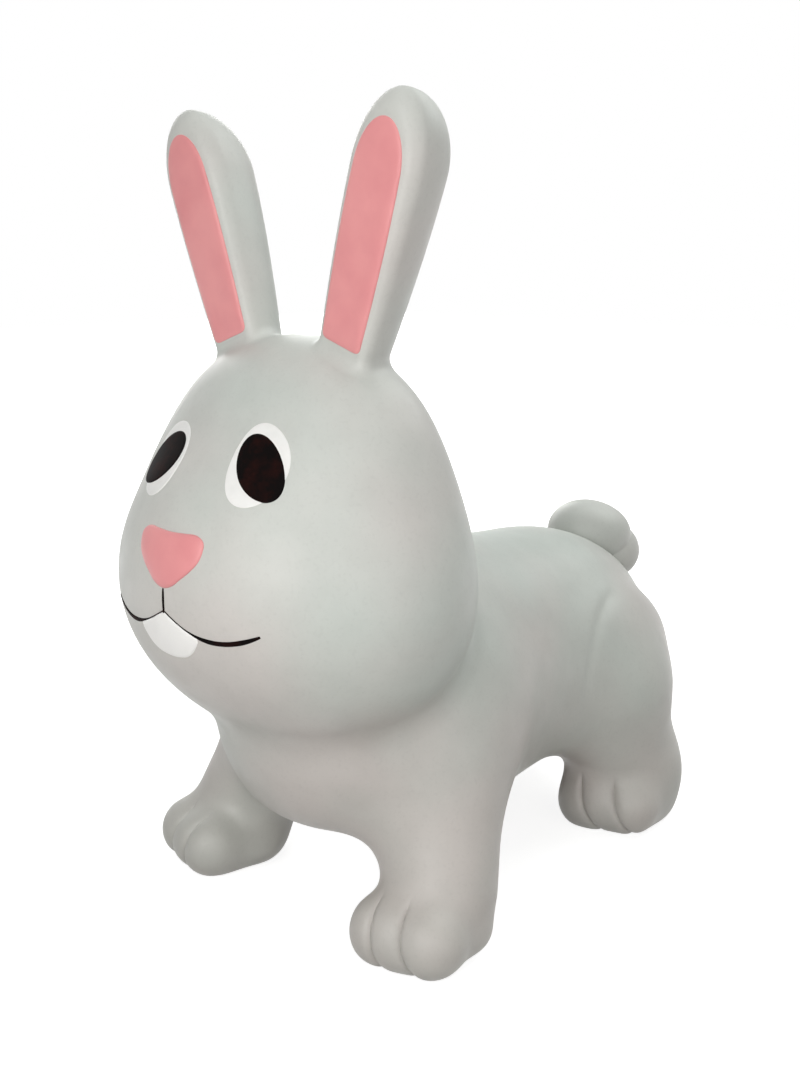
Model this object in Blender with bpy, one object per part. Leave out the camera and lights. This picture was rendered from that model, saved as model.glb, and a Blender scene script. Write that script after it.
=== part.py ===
"""Inflatable bouncing rabbit: a soft hopper that a child sits on and holds by the ears.

Metres, +Z up, the animal faces -Y and its left side is +X. It stands on z = 0. The whole skin is
one smooth form, swollen lobes that run into each other. The pieces are cut from that form at the
places where the soft skin bends, with a narrow gap at each cut.
"""

from math import cos, pi, radians, sin

import bmesh
import bpy
import numpy as np
from mathutils import Vector

# Gap between neighbouring pieces
GAP = 0.0003

# Torso: chest and rump run into one barrel with a flattened belly
CHEST_Y = -0.072
CHEST_Z = 0.147
CHEST_HALF_WIDTH = 0.107
CHEST_HALF_LENGTH = 0.1155
CHEST_HALF_HEIGHT = 0.1115
RUMP_Y = 0.089
RUMP_Z = 0.1395
RUMP_HALF_WIDTH = 0.092
RUMP_HALF_LENGTH = 0.1515
RUMP_HALF_HEIGHT = 0.098
BARREL_BLEND = 0.080
BELLY_Z = 0.050
BELLY_ROUND = 0.040

# Haunches and rear legs
HAUNCH_X = 0.0665
HAUNCH_Y = 0.119
HAUNCH_Z = 0.133
HAUNCH_HALF_WIDTH = 0.032
HAUNCH_HALF_LENGTH = 0.0885
HAUNCH_HALF_HEIGHT = 0.058
HAUNCH_BLEND = 0.020
HIP_X = 0.0745
HIP_Y = 0.129
HIP_Z = 0.110
HIP_RADIUS = 0.0455
REAR_LEG_RADIUS = 0.0415
REAR_FOOT_X = 0.0755
REAR_FOOT_Y = 0.145
REAR_FOOT_TURN = 22.0
HEEL_Y = 0.157
HEEL_Z = 0.0395
HEEL_RADIUS = 0.045
HEEL_HALF_LENGTH = 0.036

# Shoulders and front legs
SHOULDER_X = 0.0695
SHOULDER_Y = -0.0625
SHOULDER_Z = 0.1495
SHOULDER_RADIUS = 0.0395
SHOULDER_BLEND = 0.040
FRONT_LEG_RADIUS = 0.039
FRONT_FOOT_X = 0.0995
FRONT_FOOT_Y = -0.115
FRONT_FOOT_TURN = 16.0
FRONT_ANKLE_Y = -0.1075
FRONT_LEG_END_Z = 0.040

# Feet: a low pad with three toes, the same for all four; places are across the foot and forwards from it
PAD_HALF_WIDTH = 0.040
PAD_HALF_LENGTH = 0.031
PAD_HALF_HEIGHT = 0.019
PAD_Z = 0.014
INNER_TOE_X = -0.022
MIDDLE_TOE_X = -0.0075
OUTER_TOE_X = 0.0135
TOE_HALF_WIDTH = 0.0205
OUTER_TOE_HALF_WIDTH = 0.025
TOE_HALF_LENGTH = 0.024
TOE_HALF_HEIGHT = 0.0235
TOE_Z = 0.022
TOE_REACH = 0.033
INNER_TOE_SETBACK = 0.002
TOE_GROOVE = 0.003
PAD_BLEND = 0.016
FOOT_BLEND = 0.015
LEG_END_Z = 0.030
SOLE_CUT = 0.0015
SOLE_ROUND = 0.006

# Head: a narrow crown over full cheeks, and a broad low muzzle
CROWN_Y = -0.134
CROWN_Z = 0.3465
CROWN_HALF_WIDTH = 0.085
CROWN_HALF_DEPTH = 0.0415
CROWN_HALF_HEIGHT = 0.0535
CHEEK_Y = -0.1435
CHEEK_Z = 0.240
CHEEK_HALF_WIDTH = 0.136
CHEEK_HALF_DEPTH = 0.099
CHEEK_HALF_HEIGHT = 0.103
HEAD_BLEND = 0.100
MUZZLE_Y = -0.202
MUZZLE_Z = 0.256
MUZZLE_HALF_WIDTH = 0.060
MUZZLE_HALF_DEPTH = 0.032
MUZZLE_HALF_HEIGHT = 0.047
MUZZLE_BLEND = 0.052
NECK_BLEND = 0.020

# Ears: round clubs with a flat front that leans forward, deeper behind their middle than before it
EAR_ROOT_X = 0.0468
EAR_ROOT_Z = 0.386
EAR_ROOT_RADIUS = 0.0207
EAR_TIP_X = 0.0871
EAR_TIP_Z = 0.5044
EAR_TIP_RADIUS = 0.028
EAR_FULL_AT = 1.11
EAR_BELOW_ROOT = 0.2
EAR_MIDDLE_Y = -0.142
EAR_FRONT_SQUEEZE = 1.6
EAR_BACK_SQUEEZE = 0.69
EAR_TOP_SQUEEZE = 0.606
EAR_FRONT_Y = -0.1492
EAR_FRONT_LEAN = 0.037
EAR_FRONT_ROUND = 0.003
EAR_BLEND = 0.008

# Tail: three puffs folded together
UPPER_PUFF = (-0.003, 0.192, 0.2215)
UPPER_PUFF_RADIUS = 0.0285
SIDE_PUFF = (0.0055, 0.2115, 0.2155)
SIDE_PUFF_RADIUS = 0.025
LOWER_PUFF = (0.004, 0.2205, 0.1995)
LOWER_PUFF_RADIUS = 0.0295
PUFF_FLATNESS = 0.88
TAIL_BLEND = 0.010
TAIL_TOP_BLEND = 0.020
TAIL_FOLD = 0.004

# Where the form is divided: heights and slopes of the cuts
NECK_CUT_Y = -0.1145
NECK_CUT_Z = 0.196
NECK_CUT_SLOPE = 36.0
NECK_LENGTH = 0.026
EAR_CUT_ABOVE_ROOT = 0.010
EAR_CUT_SLOPE = 28.0
EAR_ROOT_LENGTH = 0.036
HIP_CUT_X = 0.035
HIP_CUT_Z = 0.072
HIP_CUT_SLOPE = 40.0
HIP_CUT_RAKE = 16.0
ANKLE_Z = 0.046
TAIL_CUT_Y = 0.2035
TAIL_CUT_Z = 0.2005
TAIL_CUT_SLOPE = 36.0

# Face, laid on the skin: places are across (x) and up (z), seen from the front
PAINT_THICKNESS = 0.0008
EYE_X = 0.042
EYE_Z = 0.332
WHITE_HALF_WIDTH = 0.0185
WHITE_HALF_HEIGHT = 0.0245
WHITE_TILT = 34.0
PUPIL_HALF_WIDTH = 0.0125
PUPIL_HALF_HEIGHT = 0.024
PUPIL_TILT = 50.0
PUPIL_OUT = 0.003
PUPIL_DOWN = 0.002
NOSE_HALF_WIDTH = 0.0295
NOSE_TOP_Z = 0.2935
NOSE_HEIGHT = 0.036
NOSE_ROUND = 0.012
NOSE_THICKNESS = 0.004
MOUTH_Z = 0.243
MOUTH_HALF_WIDTH = 0.0695
MOUTH_DROP = 0.0133
MOUTH_LOW_AT = 0.57
MOUTH_CORNER_RISE = 0.0134
LINE_RADIUS = 0.0009
LINE_POINTS = 14
LINE_THINNING = 0.5
LINE_RISE = 0.006
TOOTH_HALF_WIDTH = 0.0275
TOOTH_TOP_Z = 0.2425
TOOTH_SHOULDER_Z = 0.2305
TOOTH_BOTTOM_Z = 0.213
TOOTH_TAPER = 0.003
TOOTH_ROUND = 0.014
INNER_EAR_RIM = 0.0015
INNER_EAR_CORNER = 0.005
INNER_EAR_ABOVE_ROOT = 0.024
INNER_EAR_THICKNESS = 0.0015

# Air valve under the belly
VALVE_Y = 0.0185
SEAT_RADIUS = 0.015
SEAT_HEIGHT = 0.012
SEAT_PROUD = 0.002
BORE_RADIUS = 0.0050
PLUG_CLEARANCE = 0.0004
PLUG_LENGTH = 0.010
PLUG_HEAD_RADIUS = 0.009
PLUG_HEAD_HEIGHT = 0.003

# Columns and rings of each mesh; edges bent more than the sharp angle are not smoothed
TORSO_MESH = (40, 26)
NECK_MESH = (36, 4)
HEAD_MESH = (36, 22)
EAR_ROOT_MESH = (26, 5)
EAR_MESH = (30, 18)
INNER_EAR_MESH = (32, 8)
EYE_MESH = (24, 8)
NOSE_MESH = (30, 10)
TOOTH_MESH = (30, 8)
LEG_MESH = (24, 5)
PAW_MESH = (28, 18)
TAIL_MESH = (26, 16)
SEAT_SEGMENTS = 32
PLUG_SEGMENTS = 24
LIP_POINTS = 5
SHARP_ANGLE = 50.0

# How rays find the skin: steps over their reach, then halvings of the last step
RAY_STEPS = 90
HALVINGS = 24
REACH = 0.36

# Middle lines that torso and paws are blown out from: how far their ends lie from the lobes' middles
CHEST_SPINE_BACK = 0.030
RUMP_SPINE_BACK = 0.040
PAW_SPINE_BACK = 0.004
PAW_SPINE_FORE = 0.022
PAW_SPINE_Z = 0.020

# How far a piece is blown past its cuts before they trim it, and a cutter runs past a face
CUT_MARGIN = 0.010

# Rays to the face start at this Y, inside the head and the ears; a nudge along each axis finds the slope
CAST_Y = -0.1385
NUDGE = 0.0001


def lobe(x, y, z, half_width, half_length, half_height):
    """Distance to an ellipsoid at the origin: its scaled radius less one, brought back to metres."""
    near = np.sqrt((x / half_width) ** 2 + (y / half_length) ** 2 + (z / half_height) ** 2)
    steep = np.sqrt((x / half_width**2) ** 2 + (y / half_length**2) ** 2 + (z / half_height**2) ** 2)
    return near * (near - 1) / np.maximum(steep, 1e-9)


def limb(points, start, end, start_radius, end_radius):
    """Distance to a tapered round bar: distance to its middle line less the radius there."""
    start = np.array(start)
    along = np.array(end) - start
    share = np.clip((points - start) @ along / (along @ along), 0, 1)
    nearest = start + share[..., None] * along
    return np.linalg.norm(points - nearest, axis=-1) - start_radius - (end_radius - start_radius) * share


def joined(a, b, blend):
    """The union of two forms, with the crease between them filled over a width of blend."""
    near = np.maximum(blend - np.abs(a - b), 0) / blend
    return np.minimum(a, b) - near * near * blend / 4


def trimmed(a, b, rounding):
    """What two forms share, with the edge between them rounded."""
    return -joined(-a, -b, rounding)


def foot_form(points, foot_x, foot_y, turn):
    """A pad and three toes, turned outwards by an angle in degrees."""
    turn = radians(turn)
    dx = points[..., 0] - foot_x
    dy = points[..., 1] - foot_y
    z = points[..., 2]
    across = cos(turn) * dx + sin(turn) * dy
    back = cos(turn) * dy - sin(turn) * dx
    pad = lobe(across, back, z - PAD_Z, PAD_HALF_WIDTH, PAD_HALF_LENGTH, PAD_HALF_HEIGHT)
    toes = None
    for toe_x, half_width, reach in (
        (INNER_TOE_X, TOE_HALF_WIDTH, TOE_REACH - INNER_TOE_SETBACK),
        (MIDDLE_TOE_X, TOE_HALF_WIDTH, TOE_REACH),
        (OUTER_TOE_X, OUTER_TOE_HALF_WIDTH, TOE_REACH),
    ):
        toe = lobe(across - toe_x, back + reach, z - TOE_Z, half_width, TOE_HALF_LENGTH, TOE_HALF_HEIGHT)
        toes = toe if toes is None else joined(toes, toe, TOE_GROOVE)
    return joined(pad, toes, PAD_BLEND)


def ear_club(x, y, z):
    """Distance to the ear before its front is cut flat, in each direction on its own scale."""
    root = np.array([EAR_ROOT_X, EAR_ROOT_Z])
    along = np.array([EAR_TIP_X, EAR_TIP_Z]) - root
    length = np.linalg.norm(along)
    flat = np.stack([x, z], -1) - root
    height = flat @ along / length**2
    share = np.clip(height, -EAR_BELOW_ROOT, 1)
    radius = EAR_ROOT_RADIUS + (EAR_TIP_RADIUS - EAR_ROOT_RADIUS) * np.sin(share / EAR_FULL_AT * pi / 2)
    across = (flat[..., 0] * along[1] - flat[..., 1] * along[0]) / length
    over = (height - share) * length * EAR_TOP_SQUEEZE
    depth = y - EAR_MIDDLE_Y
    depth = depth * np.where(depth > 0, EAR_BACK_SQUEEZE, EAR_FRONT_SQUEEZE)
    return np.sqrt(across**2 + over**2 + depth**2) - radius


def ear_front(z):
    return EAR_FRONT_Y - EAR_FRONT_LEAN * (z - EAR_ROOT_Z)


def torso_form(x, y, z):
    chest = lobe(x, y - CHEST_Y, z - CHEST_Z, CHEST_HALF_WIDTH, CHEST_HALF_LENGTH, CHEST_HALF_HEIGHT)
    rump = lobe(x, y - RUMP_Y, z - RUMP_Z, RUMP_HALF_WIDTH, RUMP_HALF_LENGTH, RUMP_HALF_HEIGHT)
    return trimmed(joined(chest, rump, BARREL_BLEND), BELLY_Z - z, BELLY_ROUND)


def head_form(x, y, z):
    crown = lobe(x, y - CROWN_Y, z - CROWN_Z, CROWN_HALF_WIDTH, CROWN_HALF_DEPTH, CROWN_HALF_HEIGHT)
    cheeks = lobe(x, y - CHEEK_Y, z - CHEEK_Z, CHEEK_HALF_WIDTH, CHEEK_HALF_DEPTH, CHEEK_HALF_HEIGHT)
    muzzle = lobe(x, y - MUZZLE_Y, z - MUZZLE_Z, MUZZLE_HALF_WIDTH, MUZZLE_HALF_DEPTH, MUZZLE_HALF_HEIGHT)
    return joined(joined(crown, cheeks, HEAD_BLEND), muzzle, MUZZLE_BLEND)


def ear_form(x, y, z):
    return trimmed(ear_club(x, y, z), ear_front(z) - y, EAR_FRONT_ROUND)


def rear_leg_form(points, x, y, z):
    haunch = lobe(
        x - HAUNCH_X, y - HAUNCH_Y, z - HAUNCH_Z, HAUNCH_HALF_WIDTH, HAUNCH_HALF_LENGTH, HAUNCH_HALF_HEIGHT
    )
    hip = (HIP_X, HIP_Y, HIP_Z)
    shank = limb(points, hip, (REAR_FOOT_X, REAR_FOOT_Y, LEG_END_Z), HIP_RADIUS, REAR_LEG_RADIUS)
    heel = lobe(x - REAR_FOOT_X, y - HEEL_Y, z - HEEL_Z, HEEL_RADIUS, HEEL_HALF_LENGTH, HEEL_RADIUS)
    leg = joined(joined(haunch, shank, REAR_LEG_RADIUS), heel, HAUNCH_BLEND)
    return joined(leg, foot_form(points, REAR_FOOT_X, REAR_FOOT_Y, REAR_FOOT_TURN), FOOT_BLEND)


def front_leg_form(points):
    shoulder = (SHOULDER_X, SHOULDER_Y, SHOULDER_Z)
    ankle = (FRONT_FOOT_X, FRONT_ANKLE_Y, FRONT_LEG_END_Z)
    leg = limb(points, shoulder, ankle, SHOULDER_RADIUS, FRONT_LEG_RADIUS)
    return joined(leg, foot_form(points, FRONT_FOOT_X, FRONT_FOOT_Y, FRONT_FOOT_TURN), FOOT_BLEND)


def tail_form(x, y, z):
    def puff(place, radius):
        return lobe(x - place[0], y - place[1], z - place[2], radius, radius, radius * PUFF_FLATNESS)

    top = joined(puff(UPPER_PUFF, UPPER_PUFF_RADIUS), puff(SIDE_PUFF, SIDE_PUFF_RADIUS), TAIL_TOP_BLEND)
    return joined(top, puff(LOWER_PUFF, LOWER_PUFF_RADIUS), TAIL_FOLD)


def skin_form(points):
    """Distance to the skin, below zero inside: all lobes joined, and flattened under the soles."""
    mirrored = points * 1.0
    mirrored[..., 0] = np.abs(points[..., 0])
    x, y, z = mirrored[..., 0], mirrored[..., 1], mirrored[..., 2]
    form = joined(torso_form(x, y, z), rear_leg_form(mirrored, x, y, z), HAUNCH_BLEND)
    form = joined(form, front_leg_form(mirrored), SHOULDER_BLEND)
    form = joined(form, joined(head_form(x, y, z), ear_form(x, y, z), EAR_BLEND), NECK_BLEND)
    form = joined(form, tail_form(points[..., 0], y, z), TAIL_BLEND)
    return trimmed(form, -SOLE_CUT - z, SOLE_ROUND)


def surface(starts, directions, form):
    """Where rays from inside a form first leave it: stepped along, then halved down to the skin."""
    starts = np.asarray(starts, float)
    directions = np.asarray(directions, float)
    steps = np.linspace(0, REACH, RAY_STEPS)
    outside = np.stack([form(starts + step * directions) > 0 for step in steps])
    first = np.argmax(outside, axis=0)
    far = steps[first]
    near = steps[np.maximum(first - 1, 0)]
    for _ in range(HALVINGS):
        middle = (near + far) / 2
        out = form(starts + middle[:, None] * directions) > 0
        far = np.where(out, middle, far)
        near = np.where(out, near, middle)
    return starts + far[:, None] * directions


def principled(name, colour, roughness):
    material = bpy.data.materials.new(name)
    material.use_nodes = True
    shader = material.node_tree.nodes["Principled BSDF"]
    shader.inputs["Base Color"].default_value = (*colour, 1)
    shader.inputs["Roughness"].default_value = roughness
    shader.inputs["Metallic"].default_value = 0
    return material


def add_object(name, shape, material, parent=None):
    """Puts a finished bmesh into the rabbit's collection, on the empty of the joint that carries it."""
    bmesh.ops.recalc_face_normals(shape, faces=shape.faces)
    if shape.calc_volume(signed=True) < 0:
        bmesh.ops.reverse_faces(shape, faces=shape.faces)
    mesh = bpy.data.meshes.new(name)
    if parent is not None:
        bmesh.ops.translate(shape, vec=-parent.location, verts=shape.verts)
    shape.to_mesh(mesh)
    shape.free()
    mesh.materials.append(material)
    mesh.shade_smooth()
    mesh.set_sharp_from_angle(angle=radians(SHARP_ANGLE))
    piece = bpy.data.objects.new(name, mesh)
    rabbit.objects.link(piece)
    piece.parent = parent
    return piece


def add_pivot(name, place):
    pivot = bpy.data.objects.new(name, None)
    pivot.location = place
    pivot.empty_display_size = 0.02
    rabbit.objects.link(pivot)
    return pivot


def cut_flat(shape, point, normal):
    """Cuts away what lies beyond a plane and closes the hole with one flat face."""
    geometry = shape.verts[:] + shape.edges[:] + shape.faces[:]
    bmesh.ops.bisect_plane(
        shape, geom=geometry, dist=1e-6, plane_co=Vector(point), plane_no=Vector(normal), clear_outer=True
    )
    rim = [edge for edge in shape.edges if edge.is_boundary]
    bmesh.ops.holes_fill(shape, edges=rim)


def swollen(start, end, around, rings, cuts):
    """A piece of the form: a ball stretched from start to end, blown out to the skin, cut flat at each cut.

    Each corner of the ball goes out along its own direction, from its own place on the middle line.
    A cut is a point and a normal that points out of the piece.
    """
    start = np.array(start, float)
    end = np.array(end, float)
    middle = (start + end) / 2
    axis = (end - start) / np.linalg.norm(end - start)
    half = np.linalg.norm(end - start) / 2
    ball = bmesh.new()
    bmesh.ops.create_uvsphere(ball, u_segments=around, v_segments=rings, radius=1)
    turn = Vector((0, 0, 1)).rotation_difference(Vector(axis)).to_matrix()
    directions = np.array([(turn @ corner.co.normalized())[:] for corner in ball.verts])
    starts = middle + (half * directions @ axis)[:, None] * axis

    def closed_form(points):
        inside = skin_form(points)
        for point, normal in cuts:
            beyond = (points - np.array(point)) @ np.array(normal)
            inside = np.maximum(inside, beyond - CUT_MARGIN)
        return inside

    places = surface(starts, directions, closed_form)
    for corner, place in zip(ball.verts, places):
        corner.co = place
    for point, normal in cuts:
        cut_flat(ball, np.array(point) - np.array(normal) * GAP / 2, normal)
    return ball


def sleeve(low, high, around, rings):
    """A short length of the form between two planes: loops of skin, with both ends closed flat.

    Each plane is a point on the middle line and a normal, both pointing from low to high.
    """
    low_point, low_normal = (np.array(part, float) for part in low)
    high_point, high_normal = (np.array(part, float) for part in high)
    low_point = low_point + low_normal * GAP / 2
    high_point = high_point - high_normal * GAP / 2
    tube = bmesh.new()
    loops = []
    for share in np.linspace(0, 1, rings):
        normal = (1 - share) * low_normal + share * high_normal
        level = (1 - share) * (low_normal @ low_point) + share * (high_normal @ high_point)
        along = high_point - low_point
        centre = low_point + along * (level - normal @ low_point) / (normal @ along)
        normal /= np.linalg.norm(normal)
        side = np.cross(normal, (0, 1, 0))
        side /= np.linalg.norm(side)
        front = np.cross(normal, side)
        angles = np.linspace(0, 2 * pi, around, endpoint=False)
        directions = np.cos(angles)[:, None] * side + np.sin(angles)[:, None] * front
        places = surface(np.tile(centre, (around, 1)), directions, skin_form)
        loops.append([tube.verts.new(place) for place in places])
    for below, above in zip(loops, loops[1:]):
        for i in range(around):
            j = (i + 1) % around
            tube.faces.new((below[i], below[j], above[j], above[i]))
    tube.faces.new(loops[0])
    tube.faces.new(loops[-1])
    return tube


def pad(outline, height, thickness, around, rings):
    """A raised piece on the skin, made from a ball: its rim follows the outline, its faces the skin.

    The outline gives the rim's (x, z) for an angle, and its middle. Height is the gap under the piece.
    """
    ball = bmesh.new()
    bmesh.ops.create_uvsphere(ball, u_segments=around, v_segments=rings, radius=1)
    corners = np.array([corner.co[:] for corner in ball.verts])
    share = np.hypot(corners[:, 0], corners[:, 1])[:, None]
    rim, middle = outline(np.arctan2(corners[:, 1], corners[:, 0]))
    flat = middle + share * (rim - middle)
    starts = np.array([flat[:, 0], np.full(len(flat), CAST_Y), flat[:, 1]]).T
    on_skin = surface(starts, np.tile((0.0, -1.0, 0.0), (len(flat), 1)), skin_form)
    outwards = np.stack(
        [skin_form(on_skin + NUDGE * step) - skin_form(on_skin - NUDGE * step) for step in np.eye(3)], axis=-1
    )
    outwards /= np.linalg.norm(outwards, axis=1, keepdims=True)
    lift = height + thickness * np.sqrt(np.maximum(corners[:, 2], 0))
    for corner, place in zip(ball.verts, on_skin + lift[:, None] * outwards):
        corner.co = place
    return ball


def ellipse(x, z, half_width, half_height, tilt):
    """The outline of a tilted ellipse."""
    tilt = radians(tilt)

    def rim(angle):
        across = half_width * np.cos(angle)
        up = half_height * np.sin(angle)
        points = np.stack([x + across * cos(tilt) + up * sin(tilt), z + up * cos(tilt) - across * sin(tilt)], -1)
        return points, np.array([x, z])

    return rim


def rounded(corners, rounding):
    """The outline of a polygon with round corners, given as (x, z) in order, turning left."""
    places = np.array(corners)
    along = np.roll(places, -1, axis=0) - places
    normals = np.stack([along[:, 1], -along[:, 0]], -1) / np.linalg.norm(along, axis=1)[:, None]
    middle = places.mean(axis=0)

    def inside(points):
        form = (points - places[0]) @ normals[0]
        for place, normal in zip(places[1:], normals[1:]):
            form = trimmed(form, (points - place) @ normal, rounding)
        return form

    def rim(angle):
        heading = np.stack([np.cos(angle), np.sin(angle)], -1)
        return surface(np.tile(middle, (len(angle), 1)), heading, inside), middle

    return rim


def ear_panel(side):
    """The outline of the inner ear: the ear's flat front less a rim, closed by a slanting lower edge."""
    root = np.array([EAR_ROOT_X, EAR_ROOT_Z])
    tip = np.array([EAR_TIP_X, EAR_TIP_Z])
    axis = (tip - root) / np.linalg.norm(tip - root)
    low = root + axis * INNER_EAR_ABOVE_ROOT
    middle = (low + tip) / 2
    half = np.linalg.norm(tip - low) / 2

    def inside(points):
        below = (low - points) @ axis
        across, up = points[:, 0], points[:, 1]
        return trimmed(ear_club(across, ear_front(up), up) + INNER_EAR_RIM, below, INNER_EAR_CORNER)

    def rim(angle):
        heading = np.stack([np.cos(angle) * side, np.sin(angle)], -1)
        starts = middle + (half * heading @ axis)[:, None] * axis
        return surface(starts, heading, inside) * [side, 1], middle * [side, 1]

    return rim


def painted_line(name, across, up, height):
    """A painted line as a fine round cord that lies on the skin and thins out towards its end."""
    starts = np.array([across, np.full(len(across), CAST_Y), up]).T
    on_skin = surface(starts, np.tile((0.0, -1.0, 0.0), (len(across), 1)), skin_form)
    curve = bpy.data.curves.new(name, "CURVE")
    curve.dimensions = "3D"
    curve.bevel_depth = LINE_RADIUS
    curve.bevel_resolution = 1
    curve.use_fill_caps = True
    spline = curve.splines.new("POLY")
    spline.points.add(len(across) - 1)
    shares = np.linspace(0, 1, len(across))
    for point, place, lift, share in zip(spline.points, on_skin, height, shares):
        point.co = (place[0], place[1] - lift - LINE_RADIUS, place[2], 1)
        point.radius = 1 - LINE_THINNING * share
    cord = bpy.data.objects.new(name, curve)
    rabbit.objects.link(cord)
    shape = bmesh.new()
    mesh = bpy.data.meshes.new_from_object(cord.evaluated_get(bpy.context.evaluated_depsgraph_get()))
    shape.from_mesh(mesh)
    bmesh.ops.remove_doubles(shape, verts=shape.verts, dist=1e-6)
    bpy.data.objects.remove(cord, do_unlink=True)
    add_object(name, shape, black, head_pivot)


def mirrored_x(point, side):
    return (point[0] * side, point[1], point[2])


for old in list(bpy.data.objects):
    bpy.data.objects.remove(old, do_unlink=True)
rabbit = bpy.data.collections.new("bouncing_rabbit")
cutters = bpy.data.collections.new("cutters")
bpy.context.scene.collection.children.link(rabbit)
bpy.context.scene.collection.children.link(cutters)

grey = principled("grey_skin", (0.60, 0.62, 0.60), 0.55)
pink = principled("pink_skin", (0.84, 0.30, 0.33), 0.45)
white = principled("white_paint", (0.88, 0.88, 0.86), 0.45)
black = principled("black_paint", (0.010, 0.006, 0.006), 0.40)
valve = principled("valve_plastic", (0.45, 0.46, 0.46), 0.50)

# Cuts: each is a point and a unit normal
slope = radians(NECK_CUT_SLOPE)
neck_normal = np.array([0, -sin(slope), cos(slope)])
neck_middle = np.array([0, NECK_CUT_Y, NECK_CUT_Z])
neck_low = neck_middle - neck_normal * NECK_LENGTH / 2
neck_high = neck_middle + neck_normal * NECK_LENGTH / 2

ear_line = np.array([EAR_TIP_X - EAR_ROOT_X, 0, EAR_TIP_Z - EAR_ROOT_Z])
ear_line /= np.linalg.norm(ear_line)
ear_start = np.array([EAR_ROOT_X, EAR_MIDDLE_Y, EAR_ROOT_Z])
slope = radians(EAR_CUT_SLOPE)
ear_normal = np.array([sin(slope), 0, cos(slope)])
ear_low = ear_start + ear_line * EAR_CUT_ABOVE_ROOT
ear_high = ear_low + ear_line * EAR_ROOT_LENGTH
ear_tip = np.array([EAR_TIP_X, EAR_MIDDLE_Y, EAR_TIP_Z])

slope = radians(TAIL_CUT_SLOPE)
tail_normal = np.array([0, sin(slope), cos(slope)])
tail_cut = np.array([0, TAIL_CUT_Y, TAIL_CUT_Z])

slope = radians(HIP_CUT_SLOPE)
rake = radians(HIP_CUT_RAKE)
legs = {}
for side_name, side in (("left", 1), ("right", -1)):
    for end_name, foot_x, foot_y, lean in (
        ("front", FRONT_FOOT_X, FRONT_FOOT_Y, -1),
        ("rear", REAR_FOOT_X, REAR_FOOT_Y, 1),
    ):
        down = np.array([side * sin(slope) * cos(rake), lean * sin(rake), -cos(slope) * cos(rake)])
        hip = np.array([side * HIP_CUT_X, foot_y, HIP_CUT_Z])
        ankle = np.array([side * foot_x, foot_y, ANKLE_Z])
        knee = np.array([side * foot_x, foot_y, 0.0])
        knee[2] = hip[2] + (down[0] * (knee[0] - hip[0])) / -down[2]
        legs[end_name + "_" + side_name] = (hip, down, knee, ankle)

# Torso, with a pocket for the valve
torso_cuts = [(neck_low, neck_normal), (tail_cut, tail_normal)]
torso_cuts += [(hip, down) for hip, down, _, _ in legs.values()]
spine_start = (0, CHEST_Y + CHEST_SPINE_BACK, CHEST_Z)
spine_end = (0, RUMP_Y + RUMP_SPINE_BACK, RUMP_Z)
torso_shape = swollen(spine_start, spine_end, *TORSO_MESH, torso_cuts)
torso = add_object("torso", torso_shape, grey)

valve_top = surface([(0, VALVE_Y, RUMP_Z)], [(0, 0, -1.0)], skin_form)[0]
seat_bottom = valve_top[2] - SEAT_PROUD
seat_top = seat_bottom + SEAT_HEIGHT


def turned(radius, low, high, segments):
    """A round plug or hole on the valve's axis."""
    shape = bmesh.new()
    bmesh.ops.create_cone(
        shape, cap_ends=True, segments=segments, radius1=radius, radius2=radius, depth=high - low
    )
    bmesh.ops.translate(shape, vec=(0, VALVE_Y, (low + high) / 2), verts=shape.verts)
    return shape


def cut_with(piece, name, shape):
    """Cuts a shape out of a piece, and keeps the shape as a hidden cutter."""
    mesh = bpy.data.meshes.new(name)
    shape.to_mesh(mesh)
    shape.free()
    cutter = bpy.data.objects.new(name, mesh)
    cutter.hide_render = True
    cutter.display_type = "WIRE"
    cutters.objects.link(cutter)
    modifier = piece.modifiers.new(name, "BOOLEAN")
    modifier.operation = "DIFFERENCE"
    modifier.solver = "EXACT"
    modifier.object = cutter


cut_with(torso, "valve_pocket", turned(SEAT_RADIUS + GAP, seat_bottom - CUT_MARGIN, seat_top + GAP, SEAT_SEGMENTS))

seat = add_object("valve_seat", turned(SEAT_RADIUS, seat_bottom, seat_top, SEAT_SEGMENTS), valve)
plug_head_top = seat_bottom + PLUG_HEAD_HEIGHT
recess = turned(PLUG_HEAD_RADIUS + PLUG_CLEARANCE, seat_bottom - CUT_MARGIN, plug_head_top + GAP, PLUG_SEGMENTS)
cut_with(seat, "plug_recess", recess)
cut_with(seat, "valve_bore", turned(BORE_RADIUS, seat_bottom - CUT_MARGIN, seat_top + CUT_MARGIN, PLUG_SEGMENTS))

plug_pivot = add_pivot("air_stopper_axis", (0, VALVE_Y, seat_bottom))
plug_shape = turned(PLUG_HEAD_RADIUS, seat_bottom, plug_head_top, PLUG_SEGMENTS)
stem_faces = [face for face in plug_shape.faces if face.normal.z > 0.9]
bmesh.ops.inset_individual(
    plug_shape, faces=stem_faces, thickness=PLUG_HEAD_RADIUS - BORE_RADIUS + PLUG_CLEARANCE, depth=0
)
stem_faces = [face for face in plug_shape.faces if face.normal.z > 0.9 and len(face.verts) > 4]
stem = bmesh.ops.extrude_discrete_faces(plug_shape, faces=stem_faces)["faces"]
stem_corners = list({corner for face in stem for corner in face.verts})
bmesh.ops.translate(plug_shape, vec=(0, 0, PLUG_LENGTH - PLUG_HEAD_HEIGHT), verts=stem_corners)
add_object("air_stopper", plug_shape, valve, plug_pivot)

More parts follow.
